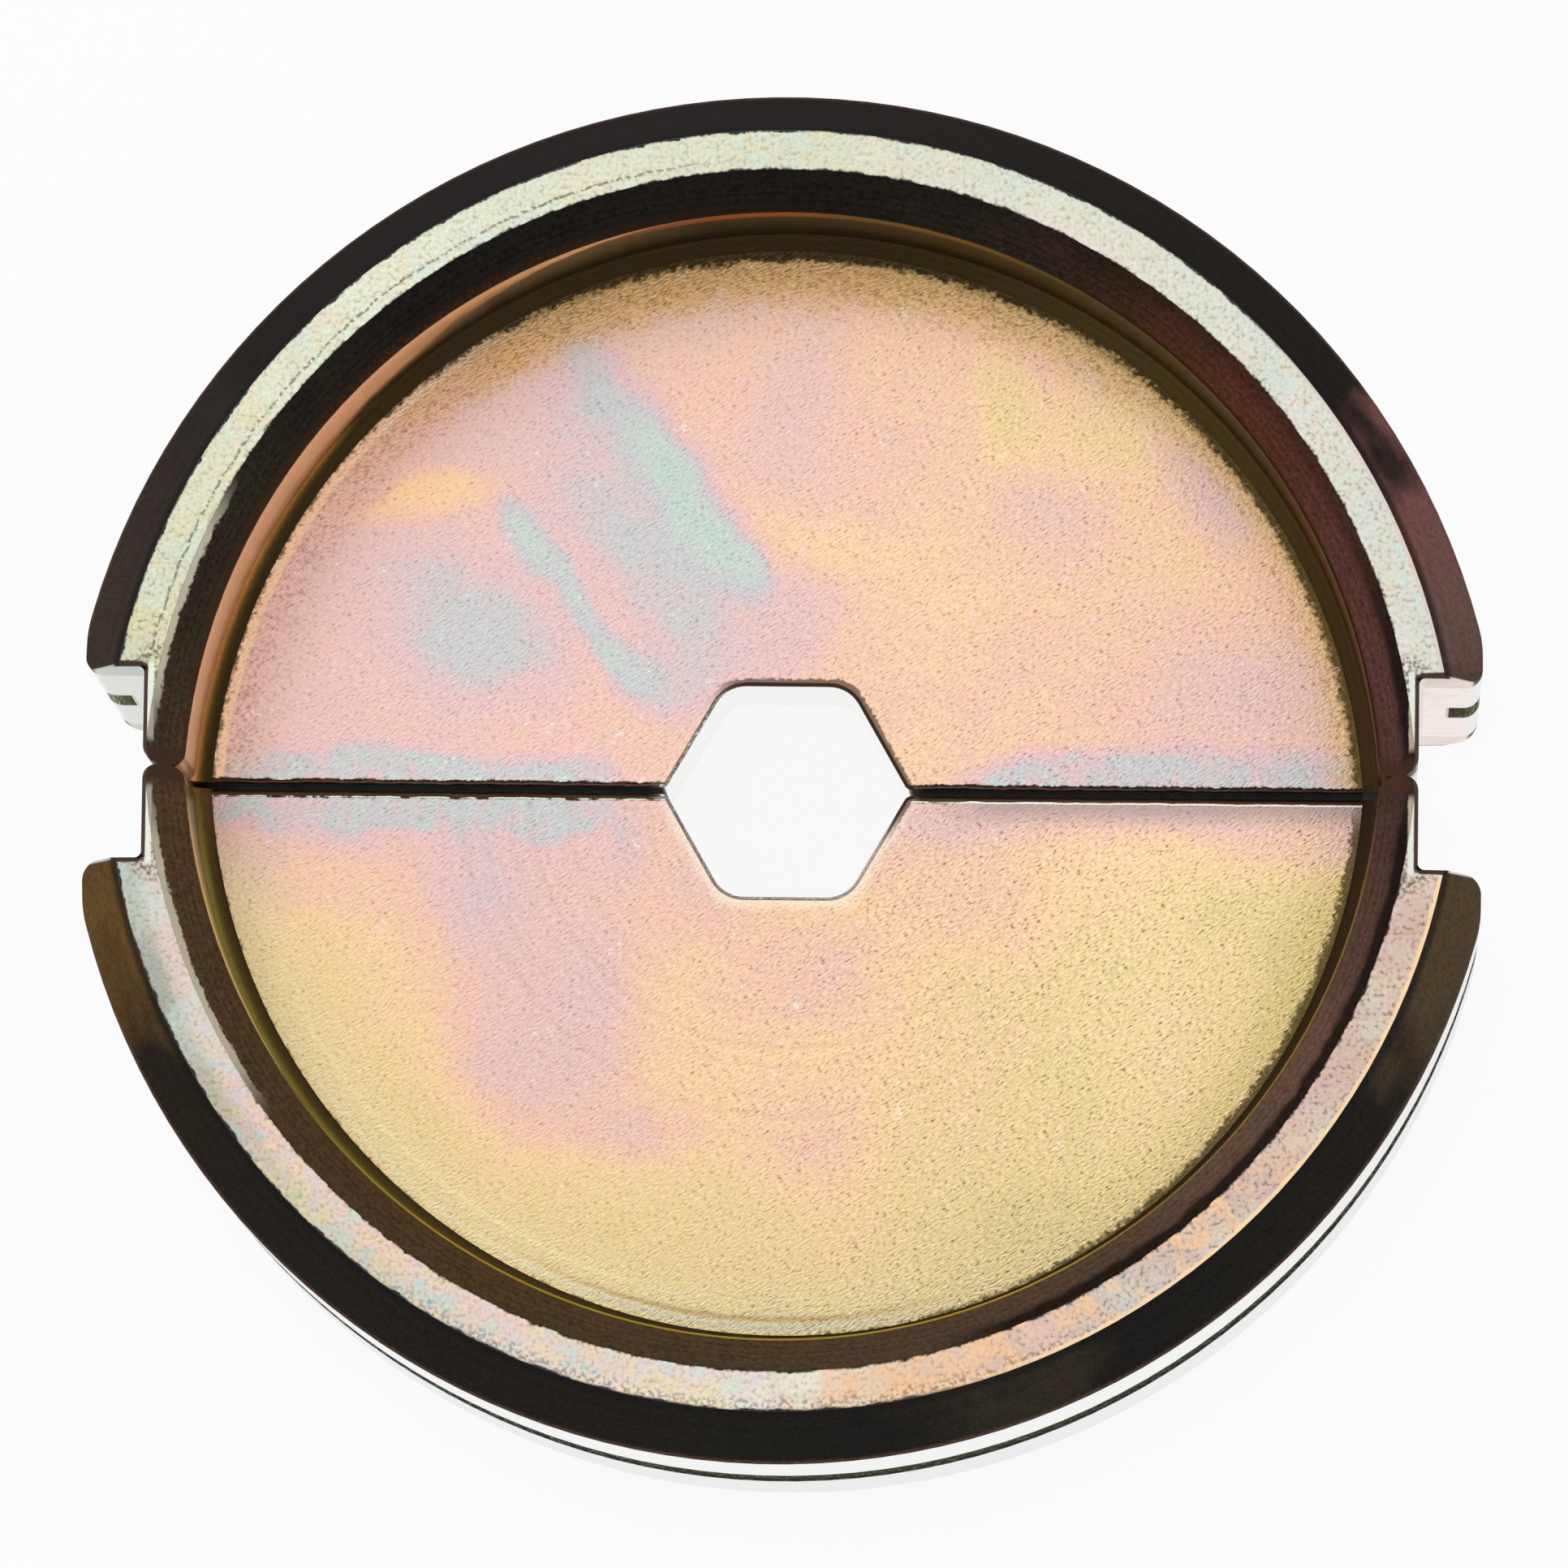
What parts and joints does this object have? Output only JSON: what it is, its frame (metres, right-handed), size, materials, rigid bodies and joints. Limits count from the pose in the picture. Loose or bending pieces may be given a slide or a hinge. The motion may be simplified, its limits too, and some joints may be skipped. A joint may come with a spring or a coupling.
{
  "type": "crimping die",
  "caption": "Hexagonal crimping die split into matching half dies, each a thin recessed web inside a deep grooved rim with notched lugs at the parting plane.",
  "frame": {"origin": "on the axis of the hexagon, in the plane of the rear rim faces that the die lies on", "axes": "+Z along the axis of the hexagon towards the front rim faces, +X along the parting line, +Y into the upper half"},
  "size_m": [0.0444, 0.0438, 0.018],
  "materials": {
    "zinc_plated_steel": "zinc plated and yellow passivated, satin, with iridescent tints"
  },
  "bodies": {
    "root": {"upper_die_half": "zinc_plated_steel", "lower_die_half": "zinc_plated_steel"}
  },
  "joints": []
}
